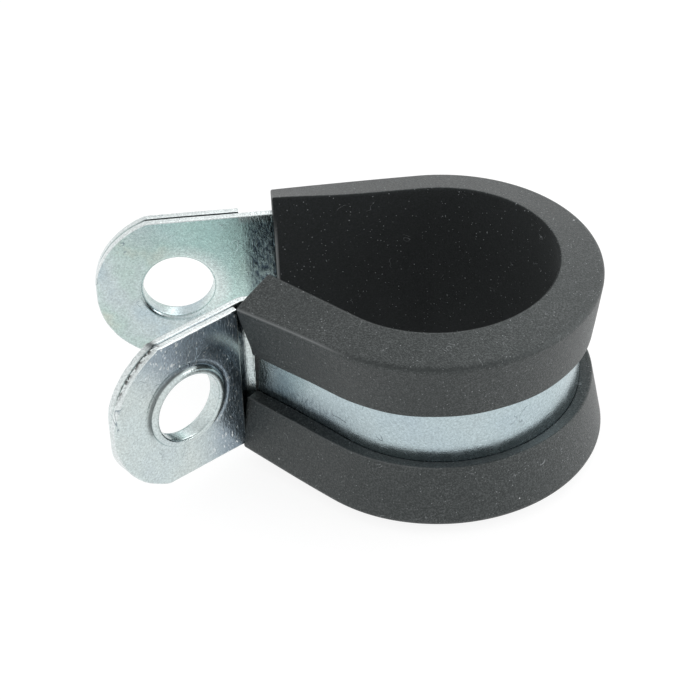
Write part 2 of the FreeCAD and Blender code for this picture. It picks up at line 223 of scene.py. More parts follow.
def grid_faces(rows, columns):
    """Quads of a grid of rows by columns whose columns close on themselves."""
    row, column = np.meshgrid(np.arange(rows - 1), np.arange(columns), indexing="ij")
    after = (column + 1) % columns
    quads = [row * columns + column, row * columns + after,
             (row + 1) * columns + after, (row + 1) * columns + column]
    return np.stack(quads, -1).reshape(-1, 4)


def solid(name, points, faces, uv, attributes, caps=()):
    """A closed piece from points in millimetres, quads and caps of many corners.

    Points that lie on each other are merged, faces of no area go, and all faces are
    turned outwards.  uv gives each point a pair of millimetres on the unrolled piece.
    """
    mesh = bpy.data.meshes.new(name)
    mesh.from_pydata((points * MM).tolist(), [], faces.tolist() + [list(cap) for cap in caps])
    corners = np.empty(len(mesh.loops), np.int32)
    mesh.loops.foreach_get("vertex_index", corners)
    layer = mesh.uv_layers.new(name="unrolled")
    layer.data.foreach_set("uv", uv[corners].astype(np.float32).ravel())
    for key, values in attributes.items():
        layer = mesh.attributes.new(key, "FLOAT", "POINT")
        layer.data.foreach_set("value", values.astype(np.float32))
    work = bmesh.new()
    work.from_mesh(mesh)
    bmesh.ops.remove_doubles(work, verts=work.verts, dist=MERGE * MM)
    loose = [corner for corner in work.verts if not corner.link_faces]
    bmesh.ops.delete(work, geom=loose, context="VERTS")
    bmesh.ops.recalc_face_normals(work, faces=work.faces)
    work.to_mesh(mesh)
    work.free()
    mesh.polygons.foreach_set("use_smooth", np.ones(len(mesh.polygons), bool))
    mesh.set_sharp_from_angle(angle=math.radians(SHARP))
    made = bpy.data.objects.new(name, mesh)
    bpy.context.scene.collection.objects.link(made)
    return made


def ear_outline():
    """Outline of an ear about its hole, with the tip along the first axis.

    It runs along one side of the strip, round the arc of TIP_RADIUS, over the flat land
    at the tip, back the same way on the other side, and then along the line where the
    outer ply ends.  With it come each point's step towards the inside for the outer
    ply and for the inner one, which goes on past the cut line, and the cut line's mask.
    """
    half = BAND_WIDTH / 2
    start = math.asin(half / TIP_RADIUS)
    stop = math.asin(TIP_LAND / 2 / TIP_RADIUS)
    off_cut = 0.76
    off_shoulder = 0.5
    at_shoulder = 0.05
    leaning = 0.6

    reach = np.linspace(off_cut - FOLD_LENGTH, SHOULDER - off_shoulder, 8)
    reach = np.concatenate([[-FOLD_LENGTH], reach, [SHOULDER - at_shoulder]])
    angle = np.linspace(start, stop, 44, endpoint=False)
    land = np.linspace(-TIP_LAND / 2, TIP_LAND / 2, 9)
    cut = np.linspace(half, -half, 17)[1:-1]
    side = np.stack([reach, np.full_like(reach, -half)], -1)
    bend = np.stack([TIP_CENTRE + TIP_RADIUS * np.cos(angle), -TIP_RADIUS * np.sin(angle)], -1)
    tip = np.stack([np.full_like(land, TIP_REACH), land], -1)
    end = np.stack([np.full_like(cut, -FOLD_LENGTH), cut], -1)
    flip = np.array([1, -1])
    points = np.concatenate([side, bend, tip, bend[::-1] * flip, side[::-1] * flip, end])

    lean = -np.clip(1 - (SHOULDER - reach) / leaning, 0, 1) / math.tan(start)
    side_step = np.stack([lean, np.ones_like(lean)], -1)
    bend_step = np.stack([-np.cos(angle), np.sin(angle)], -1)
    tip_step = np.tile([-1.0, 0.0], (len(tip), 1))
    outer = np.concatenate([side_step, bend_step, tip_step, bend_step[::-1] * flip,
                            side_step[::-1] * flip, np.tile([1.0, 0.0], (len(end), 1))])
    on_cut = points[:, 0] <= -FOLD_LENGTH + HAIR
    inner = outer * np.where(on_cut & (np.abs(points[:, 1]) < half - HAIR), 0, 1)[:, None]
    outer[on_cut, 0] = 1.0
    return points, outer, inner, on_cut


def ear_rings():
    """Rings of an ear's surface, one row each: share, radius, inset, height and ply.

    A ring lies on a circle about the hole (share 0), along the outline moved inwards by
    its inset (share 1), or between the two.  The rows go from the collar's mouth over
    the inner face, up the side past the seam, over the outer face and down the hole.
    """
    rho = EDGE_ROUND
    soft = rho * (1 - math.sqrt(0.5))
    wide = SEAM_ROUND
    slack = wide * (1 - math.sqrt(0.5))
    mouth = HOLE + COLLAR_ENTRY
    outside = HOLE + COLLAR_WALL
    press = outside + PRESS_RING
    face = EAR_THICK
    sunk = face - PRESS_DEPTH
    crest = face + COLLAR_HEIGHT
    second = THICK + FOLD_GAP
    insets = (0.62, 0.45, 0.3, 0.18, 0.1)
    deep = insets[0]

    # The inner face, from the collar's mouth to the rim.
    rows = [(0, mouth, 0, 0, 1), (0, mouth + 0.05, 0, 0, 1)]
    rows += [(share, press, deep, 0, 1) for share in (0.33, 0.66)]
    rows += [(1, 0, inset, 0, 1) for inset in insets]

    # The rim: inner ply, the seam's mouth and floor, and outer ply.
    bottom = len(rows)
    rows += [(1, 0, rho, 0, 0), (1, 0, soft, soft, 0), (1, 0, 0, rho, 0), (1, 0, 0, 2 * rho, 0)]
    rows += [(1, 0, 0, THICK - SEAM_RUN, 0), (1, 0, 0, THICK - wide, 0), (1, 0, slack, THICK - slack, 0)]
    top = len(rows)
    rows += [(1, 0, wide, THICK, 0), (1, 0, SEAM_DEPTH, THICK, 1), (1, 0, SEAM_DEPTH, second, 1)]
    rows += [(1, 0, wide, second, 1), (1, 0, slack, second + slack, 1), (1, 0, 0, second + wide, 1)]
    rows += [(1, 0, 0, second + SEAM_RUN, 1), (1, 0, 0, face - 2 * rho, 1), (1, 0, 0, face - rho, 1)]
    rows += [(1, 0, soft, face - soft, 1), (1, 0, rho, face, 1)]

    # The outer face, down into the pressed ring.
    rows += [(1, 0, inset, face, 1) for inset in reversed(insets)]
    rows += [(share, press + 0.1, deep, face, 1) for share in (0.66, 0.33)]
    rows += [(0, press + 0.1, 0, face, 1), (0, press, 0, face - PRESS_DEPTH * 0.2, 1)]
    rows += [(0, press - 0.06, 0, sunk, 1), (0, outside + COLLAR_ROOT, 0, sunk, 1)]

    # The collar: its root's fillet, its rolled outside, its crest and the hole's wall.
    corner = COLLAR_ROOT * (1 - math.sqrt(0.5))
    rows += [(0, outside + corner, 0, sunk + corner, 1), (0, outside, 0, sunk + COLLAR_ROOT, 1)]
    for turn in np.radians((18, 36, 54, 72, 90)):
        rows.append((0, outside - COLLAR_HEIGHT * (1 - math.cos(turn)), 0,
                     face + COLLAR_HEIGHT * math.sin(turn), 1))
    rows += [(0, HOLE + COLLAR_BREAK, 0, crest, 1), (0, HOLE + 0.03, 0, crest - 0.04, 1)]
    rows += [(0, HOLE, 0, crest - COLLAR_BREAK, 1), (0, HOLE, 0, crest - 0.25, 1), (0, HOLE, 0, 0.4, 1)]
    rows += [(0, HOLE, 0, COLLAR_ENTRY, 1), (0, HOLE + 0.12, 0, 0.12, 1)]
    return np.array(rows), bottom, top


def ear(hole, tip, outward, before, grows, gap, burr):
    """Points, faces, unrolled places and marks of one ear.

    hole is the hole's centre on the inner face, and tip and outward are the ear's own
    axes.  before is how far along the strip the hole lies, and grows is 1 where that way
    grows towards the tip and -1 where it shrinks.  Past the middle of the fold the two
    plies close in a half round: heights shrink by sqrt(1 - (x / r)^2) about it.  gap
    says how open the seam between the plies is, and burr how much the shears tore the
    corner at the upper shoulder.
    """
    outline, outer, inner, on_cut = ear_outline()
    rings, bottom, top = ear_rings()
    share, radius, inset, height, ply = [rings[:, number, None] for number in range(5)]
    on_rim = share > 0.99
    fold = EAR_THICK / 2
    reach, side = outline[:, 0], outline[:, 1]
    closing = ease(*(TIP_REACH - fold * SHUT_AT_TIP), reach)
    opened = gap * (0.15 + 0.85 * ease(*(SHOULDER + SHUT_AT_SHOULDER), reach))
    seam = on_rim & (np.abs(height - fold) < FOLD_GAP / 2 + HAIR)
    groove = on_rim & (np.abs(height - fold) < FOLD_GAP / 2 + SEAM_ROUND + HAIR)
    inset = np.where(seam & (inset > SEAM_ROUND + HAIR), SEAM_ROUND + (inset - SEAM_ROUND) * opened, inset)
    inset = np.where(groove, inset * (1 - closing), inset)

    # Shears leave the rim a little uneven, in two waves, and they tore one corner.
    rim = (on_rim & (inset < TORN_WIDTH) & ~on_cut) * (1 - closing)
    chatter = np.sin(2.3 * side + 1.7 * height + reach) + 0.7 * np.sin(5.9 * side + 4.0 * height)
    torn = burr * np.exp(-((reach - SHOULDER) / BURR_REACH) ** 2) * (side > 0)
    inset = inset - rim * (SHEAR_CHATTER * chatter + BURR * torn * np.sin(7.0 * height + 9.0 * reach))

    unit = outline / np.linalg.norm(outline, axis=1)[:, None]
    step = np.where(ply[..., None] > 0, outer, inner)
    flat = (1 - share[..., None]) * radius[..., None] * unit
    flat = flat + share[..., None] * (outline + inset[..., None] * step)
    beyond = np.clip((flat[..., 0] - (TIP_REACH - fold)) / fold, 0, 1)
    proud = np.broadcast_to(height, beyond.shape) - fold
    proud = np.where(seam, proud * (1 - closing), proud) * np.sqrt(1 - beyond ** 2)
    place = hole + flat[..., :1] * tip + flat[..., 1:] * UP
    place = place + (fold + proud)[..., None] * outward

    # The inner ply's rim has no faces along the cut line, where the strip goes on.
    count, columns = beyond.shape
    faces = grid_faces(count + 1, columns) % (count * columns)
    ring = np.repeat(np.arange(count), columns)
    on_wall = (ring >= bottom) & (ring < top)
    inside = np.tile(on_cut & np.roll(on_cut, -1), count)
    faces = faces[~(on_wall & inside)]
    uv = np.stack([before + grows * flat[..., 0], flat[..., 1]], -1)

    marks = ear_marks(outline, rings, flat, on_cut, grows > 0)
    # Painted shade: the seam between the plies, the torn rim and the collar's root are darkened in colour.
    dark = marks["seam"]
    shaded = dark * (0.08 + 0.92 * opened) * (1 - closing) + 0.8 * torn * (ply == 0) * rim
    marks["seam"] = np.clip(shaded + 0.75 * marks.pop("root"), 0, 1)
    marks["torn"] = burr * marks["torn"] * on_rim * (inset < TORN_WIDTH)
    return place.reshape(-1, 3), faces, uv.reshape(-1, 2), marks


def ear_marks(outline, rings, flat, on_cut, front):
    """Marks of an ear's points, each from nought to one, before the seam opens or closes.

    edge is the rounded rim, which carries a painted highlight, and seam the gap between the
    plies and root the collar's root on its upper side near the tip, which both carry painted
    shade.  press and brushed are the press lines beside the front ear's fold, whose darkening
    is partly press marks and partly a painted dark reflection, and one more mark is a painted
    dark reflection over the front ear's outer face.  torn runs along the seam from the torn
    corner, where shade is painted in beads, teal is the tint pooled on the rear ear, and
    loop is the darker tint of the loop, of which an ear has none.
    """
    share, radius, inset, height, ply = [rings[:, number, None] for number in range(5)]
    reach, side = outline[:, 0], outline[:, 1]
    tipward, upward = flat[..., 0], flat[..., 1]
    fold = EAR_THICK / 2
    outside = HOLE + COLLAR_WALL
    outer_face = height > fold
    goes_on = (ply == 0) & on_cut & (np.abs(side) < BAND_WIDTH / 2 - HAIR)
    on_rim = (share > 0.99) & ~goes_on
    seam = on_rim & (np.abs(height - fold) < FOLD_GAP / 2 + 0.6 * SEAM_ROUND)
    edge = on_rim & (inset < EDGE_ROUND + 0.01)
    root = (share == 0) & outer_face & (radius > outside - 0.02) & (radius < outside + 0.1)
    shade = ease(*ROOT_TURN, outline / np.linalg.norm(outline, axis=1)[:, None] @ ROOT_SHADE)
    # Press lines beside the front ear's fold, whose darkening is partly a painted dark reflection.
    near_fold = front * ease(*NEAR_FOLD, tipward)
    # A painted dark reflection over the front ear's outer face, strongest towards the fold.
    dark_reflection = np.maximum(ease(*REFLECTION_SLANT, tipward - 0.9 * upward), 0.9 * ease(*REFLECTION_FOLD, tipward))
    on_face = outer_face & ((share > 0) | (radius > outside))
    trail = np.exp(-((height - fold - 0.14) / 0.16) ** 2)
    trail = trail * ease(2.0, 4.2, side) * ease(-0.4, -0.1, reach - SHOULDER)
    return {"edge": edge & ~seam, "seam": seam, "root": root * shade, "press": 0.6 * near_fold * outer_face,
            "brushed": near_fold, "loop": np.zeros_like(tipward), "dark_reflection": front * on_face * dark_reflection,
            "torn": trail, "teal": (not front) * (height < fold) * ease(*TEAL_SLANT, tipward - 0.5 * upward)}


def strip_section():
    """The strip's rounded section as rows of (width, height), matched to an ear's cut line."""
    half = BAND_WIDTH / 2
    rho = EDGE_ROUND
    soft = rho * (1 - math.sqrt(0.5))
    cut = np.linspace(half, -half, 17)[1:-1]
    wide = SEAM_ROUND
    slack = wide * (1 - math.sqrt(0.5))
    wall = [(half - wide, THICK), (half - slack, THICK - slack), (half, THICK - wide)]
    wall += [(half, THICK - SEAM_RUN), (half, 2 * rho), (half, rho), (half - soft, soft), (half - rho, 0)]
    wall = np.array(wall)
    below = np.stack([cut, np.zeros_like(cut)], -1)
    above = np.stack([cut[::-1], np.full_like(cut, THICK)], -1)
    section = np.concatenate([wall, below, wall[::-1] * np.array([-1, 1]), above])
    return section, np.abs(section[:, 0]) > half - 0.1


def band_line():
    """Stations of the strip's inner face between the two cut lines, and their normals.

    They run straight to the loop, turn on a circle about the bore's centre, run straight
    again, turn back by BEND_ANGLE about a centre outside the strip, and run on flat.
    """
    loop = BORE + LINER_WALL
    bend = BEND_RADIUS + THICK
    rear = np.linspace(-(REAR_LEG + REAR_SETBACK), 0, 30, endpoint=False)
    turn = np.linspace(0, WRAP, 160, endpoint=False)
    front = np.linspace(0, STRAIGHT, 18, endpoint=False)
    back = np.linspace(WRAP, EAR_TURN, 28, endpoint=False)
    flat = np.linspace(0, BEND_TO_HOLE - FOLD_LENGTH, 4)
    centre = loop * out(WRAP) + STRAIGHT * along(WRAP) + bend * out(WRAP)
    bases = [
        np.stack([rear, np.full_like(rear, loop), np.zeros_like(rear)], -1),
        loop * out(turn),
        loop * out(WRAP) + front[:, None] * along(WRAP),
        centre - bend * out(back),
        centre - bend * out(EAR_TURN) + flat[:, None] * along(EAR_TURN),
    ]
    normals = [np.tile(out(0.0), (len(rear), 1)), out(turn), np.tile(out(WRAP), (len(front), 1)),
               out(back), np.tile(out(EAR_TURN), (len(flat), 1))]
    return np.concatenate(bases), np.concatenate(normals), centre - bend * out(EAR_TURN)


def make_band():
    """Steel band: the strip's section carried along its line, with an ear at each end.

    A point of the strip is a station of the line, plus its height in the section times
    the line's normal there, plus its place across the section times +Z.
    """
    bases, normals, ear_start = band_line()
    section, section_edge = strip_section()
    across = section[:, 0]
    height = section[:, 1]
    strip = bases[:, None] + height[None, :, None] * normals[:, None] + across[None, :, None] * UP
    walk = np.concatenate([[0], np.cumsum(np.linalg.norm(np.diff(bases, axis=0), axis=1))])
    strip_uv = np.stack(np.broadcast_arrays(walk[:, None], across[None]), -1)
    left = walk[-1] - walk

    # The press gripped the strip beside the rear ear's fold.  The darkening there, on the front leg's outer
    # side and in the bend before the front ear is partly press marks and partly a painted dark reflection.
    inner_side = height < THICK / 2
    gripped = ease(*GRIP_COMES, walk) * ease(*GRIP_GOES, walk)
    painted_darkening = 0.9 * ease(*DARKENING_COMES, left) * ease(*DARKENING_GOES, left)
    painted_darkening = painted_darkening[:, None] * ease(*DARKENING_ACROSS, across) + ease(*BEND_DARK, left)[:, None]
    brushed = gripped + ease(*BRUSH_COMES, left)
    on_loop = ease(*LOOP_COMES, walk) * ease(*LOOP_GOES, left)
    bare = np.zeros(strip.shape[:2])
    marks = {
        "edge": np.tile(section_edge, (len(bases), 1)),
        "press": np.where(inner_side, 1, 0.3) * gripped[:, None] + np.where(inner_side, 0, 1) * painted_darkening,
        "brushed": np.repeat(brushed[:, None], len(section), 1),
        "loop": np.repeat(on_loop[:, None], len(section), 1),
        "teal": np.where(inner_side, 1, 0) * ease(*TEAL_GOES, walk)[:, None],
        "seam": bare, "dark_reflection": bare, "torn": bare,
    }
    parts = [(strip.reshape(-1, 3), grid_faces(len(bases), len(section)), strip_uv.reshape(-1, 2), marks)]
    rear_hole = np.array([-(REAR_LEG + REAR_SETBACK + FOLD_LENGTH), BORE + LINER_WALL, 0])
    front_hole = ear_start + BEND_TO_HOLE * along(EAR_TURN)
    parts.append(ear(rear_hole, np.array([-1, 0, 0]), out(0.0), -FOLD_LENGTH, grows=-1,
                     gap=1.0, burr=0.0))
    parts.append(ear(front_hole, along(EAR_TURN), out(EAR_TURN), walk[-1] + FOLD_LENGTH, grows=1,
                     gap=0.15, burr=1.0))

    starts = np.cumsum([0] + [len(part[0]) for part in parts[:-1]])
    points = np.concatenate([part[0] for part in parts])
    faces = np.concatenate([part[1] + start for part, start in zip(parts, starts)])
    uv = np.concatenate([part[2] for part in parts])
    marks = {key: np.concatenate([part[3][key].astype(float).ravel() for part in parts]) for key in marks}
    return solid("zinc_plated_band", points, faces, uv, marks)


def rounded(corners):
    """A closed outline of rows (x, y, radius) whose corners become arcs.

    Each arc turns about the point that lies the radius away from both of its sides.
    """
    corners = np.array(corners)
    places = corners[:, :2]
    points = []
    for number, (here, radius) in enumerate(zip(places, corners[:, 2])):
        back = places[number - 1] - here
        onward = places[(number + 1) % len(places)] - here
        back = back / np.linalg.norm(back)
        onward = onward / np.linalg.norm(onward)
        half = math.acos(np.clip(back @ onward, -1, 1)) / 2
        if radius <= 0 or half > 1.56:
            points.append(here[None])
            continue
        middle = (back + onward) / np.linalg.norm(back + onward)
        centre = here + middle * radius / math.sin(half)
        side = np.array([-middle[1], middle[0]]) * np.sign(middle[0] * back[1] - middle[1] * back[0])
        swing = np.linspace(math.pi / 2 - half, half - math.pi / 2, 7)[:, None]
        points.append(centre + radius * (np.sin(swing) * side - np.cos(swing) * middle))
    return np.concatenate(points)


def filled(outline, spacing, hold):
    """An outline with points every spacing along its long sides, and one hold from each end."""
    pieces = []
    for here, there in zip(outline, np.roll(outline, -1, 0)):
        length = np.linalg.norm(there - here)
        shares = [0.0]
        if length > 4 * hold:
            count = max(int((length - 2 * hold) / spacing), 1)
            shares = [0.0] + list(hold / length + np.linspace(0, 1 - 2 * hold / length, count + 1))
        pieces.append(here + np.array(shares)[:, None] * (there - here))
    return np.concatenate(pieces)


def liner_section():
    """The rubber's C section as rows of (height above the bore, place along the bore)."""
    half = [
        (0, BORE_SIDE, BORE_ROUND),
        (*RIM, RIM_ROUND),
        (*LIP_EDGE, LIP_ROUND),
        (*LIP_ROOT, LIP_ROOT_ROUND),
        (LIP_ROOT[0], GROOVE_SIDE, 0),
        (GROOVE_FLOOR, GROOVE_SIDE, 0),
    ]
    mirrored = [(height, -side, radius) for height, side, radius in reversed(half)]
    return filled(rounded(half + mirrored), spacing=0.45, hold=0.05)


def liner_line():
    """Stations of the bore's line and their outward normals."""
    cut = np.array([0, 0.15, 0.5, 1]) * CUT_ROUND
    rear = np.concatenate([cut, np.linspace(2 * CUT_ROUND, REAR_LEG, 26, endpoint=False)]) - REAR_LEG
    turn = np.linspace(0, WRAP, 170, endpoint=False)
    front = np.linspace(0, FRONT_LEG - 2 * CUT_ROUND, 20)
    front = np.concatenate([front, FRONT_LEG - cut[::-1]])
    bases = [np.stack([rear, np.full_like(rear, BORE), np.zeros_like(rear)], -1), BORE * out(turn),
             BORE * out(WRAP) + front[:, None] * along(WRAP)]
    normals = [np.tile(out(0.0), (len(rear), 1)), out(turn), np.tile(out(WRAP), (len(front), 1))]
    return np.concatenate(bases), np.concatenate(normals)


def off_from(place, section):
    """How far a section's points lie from a place, in the half that each of them is in."""
    return np.linalg.norm(np.stack([section[:, 0], np.abs(section[:, 1])], -1) - place, axis=1)


def liner_marks(section, walk, left):
    """Marks of the rubber's points, each from nought to one.

    bore is the skin of the bore, darkened as painted shade, crease a dark line of painted
    shade beside the rims' corners, and the third mark holds three pale lines: a moulding line
    on those corners and a painted highlight on the lower lip's edge, both towards the front
    end, and a painted highlight beside the rear cut end on its upper half.
    """
    # Painted shade in the crease, a pale moulding line on the rims' corners, and painted highlights on the
    # lower lip's edge and beside the rear cut end.
    crease = ease(*CREASE_WIDTH, off_from(RIM - CREASE_STEP, section))
    lip = ease(*LIP_LINE_WIDTH, np.linalg.norm(section * (1, -1) - LIP_EDGE, axis=1))
    rear = ease(*REAR_LINE_WIDTH, walk) * (walk > 0.01)
    rear = rear[:, None] * ease(*REAR_LINE_HEIGHT, section[:, 0]) * ease(*REAR_LINE_SIDE, section[:, 1])
    flash_and_highlight = 0.8 * crease * ease(*RIM_LINE_COMES, left)[:, None]
    flash_and_highlight = flash_and_highlight + 0.3 * lip * ease(*LIP_LINE_COMES, left)[:, None] + rear
    marks = {"bore": section[:, 0] < 0.15, "crease": crease, "flash_and_highlight": np.clip(flash_and_highlight, 0, 1)}
    return {key: np.broadcast_to(value, flash_and_highlight.shape).astype(float).ravel() for key, value in marks.items()}


def make_liner():
    """Rubber liner: its section carried along the bore's line, with rounded cut ends.

    A point is a station of the bore's line, plus its height times the line's normal
    there, plus its place across times +Z.  Near each end the rims draw in by a share of
    (1 - x / END_REACH)^2, where x is the way left to the end, and the lips wander by a few
    hundredths of a millimetre as an extrusion's do, along sin(0.7 x) + 0.5 sin(1.6 x).
    """
    section = liner_section()
    bases, normals = liner_line()
    walk = np.concatenate([[0], np.cumsum(np.linalg.norm(np.diff(bases, axis=0), axis=1))])
    left = walk[-1] - walk
    height = np.broadcast_to(section[:, 0], (len(walk), len(section))).copy()
    side = np.broadcast_to(section[:, 1], height.shape).copy()

    # The cut ends are rounded: the section shrinks by the rest of a quarter circle.
    tangent = np.roll(section, -1, 0) - np.roll(section, 1, 0)
    normal = np.stack([tangent[:, 1], -tangent[:, 0]], -1) / np.linalg.norm(tangent, axis=1)[:, None]
    normal *= np.sign((normal[:, 1] * np.sign(section[:, 1]))[np.argmax(section[:, 1])])
    near = np.clip(np.minimum(walk, left) / CUT_ROUND, 0, 1)
    shrink = CUT_ROUND * (1 - np.sqrt(1 - (1 - near) ** 2))
    height -= shrink[:, None] * normal[:, 0]
    side -= shrink[:, None] * normal[:, 1]

    # The rims' outer corners are crisper towards the front end.
    crisp = CRISP * ease(*CRISP_COMES, left)[:, None] * ease(*CRISP_ROUND, off_from(RIM, section))
    height += crisp * (RIM[0] - section[:, 0])
    side += crisp * (np.sign(section[:, 1]) * RIM[1] - section[:, 1])

    # Rims drawn in near the ends, and lips that wander.
    weight = np.clip(height / RIM[0], 0, 1) * np.clip(np.abs(side) / RIM[1], 0, 1)
    draw = REAR_DRAW * np.clip(1 - walk / END_REACH, 0, 1) ** 2
    draw = draw + FRONT_DRAW * np.clip(1 - left / END_REACH, 0, 1) ** 2
    side -= np.sign(side) * draw[:, None] * weight
    on_lip = ease(*LIP_HEIGHT, height) * ease(*LIP_SIDE, np.abs(side))
    wander = np.sin(walk * 0.7 + 0.7) + 0.5 * np.sin(walk * 1.6 + 2.0)
    side += LIP_WANDER * wander[:, None] * on_lip * np.sign(side)
    height += LIP_LIFT * np.roll(wander, 9)[:, None] * on_lip * near[:, None]

    # At its rear end the bore's edges turn outwards, and at its front end the lower lip's root rises.
    turned = ease(*FLARE_GOES, walk)[:, None] * ease(*FLARE_SIDE, np.abs(side))
    height += FLARE * turned * np.clip(1 - height / RIM[0], 0, 1)
    root = ease(*ROOT_HEIGHT, height) * (height > ROOT_LOWEST) * ease(*ROOT_SIDE, np.abs(side)) * (side < 0)
    side += ROOT_RISE * ease(*ROOT_COMES, left)[:, None] * root

    # The front end is cut a little askew: its upper rim and its lower half stand further out.
    skew = np.where(side > 0, LIP_SKEW + (RIM_SKEW - LIP_SKEW) * ease(*SKEW_SIDE, side), LOWER_SKEW)
    skew = skew * np.clip(height / LIP_EDGE[0], 0, 1) * np.clip(1 - left / SKEW_REACH, 0, 1)[:, None] ** 2
    ahead = np.gradient(bases, axis=0)
    ahead /= np.linalg.norm(ahead, axis=1)[:, None]

    place = bases[:, None] + height[..., None] * normals[:, None] + side[..., None] * UP
    place = place + skew[..., None] * ahead[:, None]
    count = len(section)
    faces = grid_faces(len(walk), count)
    caps = [np.arange(count), np.arange(count) + (len(walk) - 1) * count]
    round_section = np.cumsum(np.linalg.norm(np.diff(section, axis=0, prepend=section[-1:]), axis=1))
    uv = np.stack(np.broadcast_arrays(walk[:, None], round_section[None]), -1)
    return solid("epdm_liner", place.reshape(-1, 3), faces, uv.reshape(-1, 2),
                 liner_marks(section, walk, left), caps)


def linear(code):
    """Linear colour of an sRGB hex value: ((c + 0.055) / 1.055) ^ 2.4 above the toe."""
    values = [int(code[start:start + 2], 16) / 255 for start in (1, 3, 5)]
    return [v / 12.92 if v <= 0.04045 else ((v + 0.055) / 1.055) ** 2.4 for v in values] + [1.0]


def add(tree, kind, sockets=None, stops=None, **settings):
    """A node of this kind, with its settings, its inputs and a colour ramp's stops.

    An input is a plain value or another node's output.
    """
    node = tree.nodes.new("ShaderNode" + kind)
    for key, value in settings.items():
        setattr(node, key, value)
    for key, value in (sockets or {}).items():
        if isinstance(value, bpy.types.NodeSocket):
            tree.links.new(value, node.inputs[key])
        else:
            node.inputs[key].default_value = value
    if stops:
        ramp = node.color_ramp.elements
        while len(ramp) < len(stops):
            ramp.new(1.0)
        for element, (position, colour) in zip(ramp, stops):
            element.position = position
            element.color = linear(colour)
    return node


def new_material(name):
    """An empty material and its node tree."""
    made = bpy.data.materials.new(name)
    made.use_nodes = True
    made.node_tree.nodes.clear()
    return made, made.node_tree


def hairs(tree, place, size, kink, width, patch, least, most):
    """Hair lines: short stretches of the curves on which a noise passes its middle value.

    size is the noise's feature in millimetres, kink how far it is distorted and width
    how far from the middle value a line ends.  The lines show where a second noise, with
    features of the size patch, passes from least to most.
    """
    sway = add(tree, "TexNoise", {"Vector": place, "Scale": 1 / (size * MM), "Detail": 1.0,
                                  "Distortion": kink})
    off = add(tree, "Math", {0: sway.outputs["Fac"], 1: 0.5}, operation="SUBTRACT")
    off = add(tree, "Math", {0: off.outputs[0]}, operation="ABSOLUTE")
    hair = add(tree, "MapRange", {"Value": off.outputs[0], "From Max": width, "To Min": 1.0, "To Max": 0.0})
    here = add(tree, "TexNoise", {"Vector": place, "Scale": 1 / (patch * MM), "Detail": 0.0})
    here = add(tree, "MapRange", {"Value": here.outputs["Fac"], "From Min": least, "From Max": most})
    return add(tree, "Math", {0: hair.outputs[0], 1: here.outputs[0]}, operation="MULTIPLY").outputs[0]


def passivation(tree, place, unrolled, loop, teal):
    """Tint of the passivation, in clouds a few millimetres across.

    It goes from sea green at the rear ear to pale blue further along the strip.  It is
    pooled where teal says, lightened in a ring round the rear hole as a painted highlight, and darker on the
    loop.
    """
    clouds = add(tree, "TexNoise", {"Vector": place, "Scale": 1 / (5 * MM), "Detail": 4.0, "Roughness": 0.55})
    sea_green = add(tree, "ValToRGB", {"Fac": clouds.outputs["Fac"]},
                    stops=((0.3, "#b9cad1"), (0.46, "#c8d5d6"), (0.6, "#bfd2cd"), (0.75, "#cdd2c6")))
    pale_blue = add(tree, "ValToRGB", {"Fac": clouds.outputs["Fac"]},
                    stops=((0.3, "#c8d4d9"), (0.5, "#d1dddd"), (0.7, "#d2dbd9")))
    walked = add(tree, "SeparateXYZ", {0: unrolled})
    onward = add(tree, "MapRange", {"Value": walked.outputs["X"], "From Min": 0.0, "From Max": 12.0})
    tint = add(tree, "MixRGB", {"Fac": onward.outputs[0], "Color1": sea_green.outputs[0],
                                "Color2": pale_blue.outputs[0]}).outputs[0]

    # The tint pools at the rear ear, is lightened close round its hole as a painted highlight, and darkens on
    # the loop.
    beside = add(tree, "VectorMath", {0: unrolled, 1: (-FOLD_LENGTH, 0.0, 0.0)}, operation="DISTANCE")
    painted_halo = add(tree, "MapRange", {"Value": beside.outputs["Value"], "From Min": 3.2, "From Max": 4.1,
                                   "To Min": 0.6, "To Max": 0.0})
    for mark, strength, colour in ((teal, 0.75, "#cdeae5"), (teal, painted_halo.outputs[0], "#eef3f2"),
                                   (loop, 0.6, "#a9bcc4")):
        much = add(tree, "Math", {0: mark, 1: strength}, operation="MULTIPLY")
        tint = add(tree, "MixRGB", {"Fac": much.outputs[0], "Color1": tint,
                                    "Color2": linear(colour)}).outputs[0]
    return tint


def painted_streak(tree, unrolled):
    """Nought on a bright streak, which is a painted reflection, and one elsewhere.

    The streak lies beside the front ear's fold, on the upper half of an arc of radius
    5.4 mm about the hole.
    """
    walked = add(tree, "SeparateXYZ", {0: unrolled})
    beside = add(tree, "VectorMath", {0: unrolled, 1: (FRONT_HOLE_WALK, 0.0, 0.0)}, operation="DISTANCE")
    away = add(tree, "Math", {0: beside.outputs["Value"], 1: 5.4}, operation="SUBTRACT")
    away = add(tree, "Math", {0: away.outputs[0]}, operation="ABSOLUTE")
    arc = add(tree, "MapRange", {"Value": away.outputs[0], "From Min": 0.1, "From Max": 0.6,
                                 "To Min": 1.0, "To Max": 0.0})
    upper = add(tree, "MapRange", {"Value": walked.outputs["Y"], "From Min": 0.6, "From Max": 2.4})
    inward = add(tree, "MapRange", {"Value": walked.outputs["X"], "From Min": FRONT_HOLE_WALK - 1.8,
                                    "From Max": FRONT_HOLE_WALK - 3.0})
    for part in (upper, inward):
        arc = add(tree, "Math", {0: arc.outputs[0], 1: part.outputs[0]}, operation="MULTIPLY")
    return add(tree, "Math", {0: 1.0, 1: arc.outputs[0]}, operation="SUBTRACT").outputs[0]


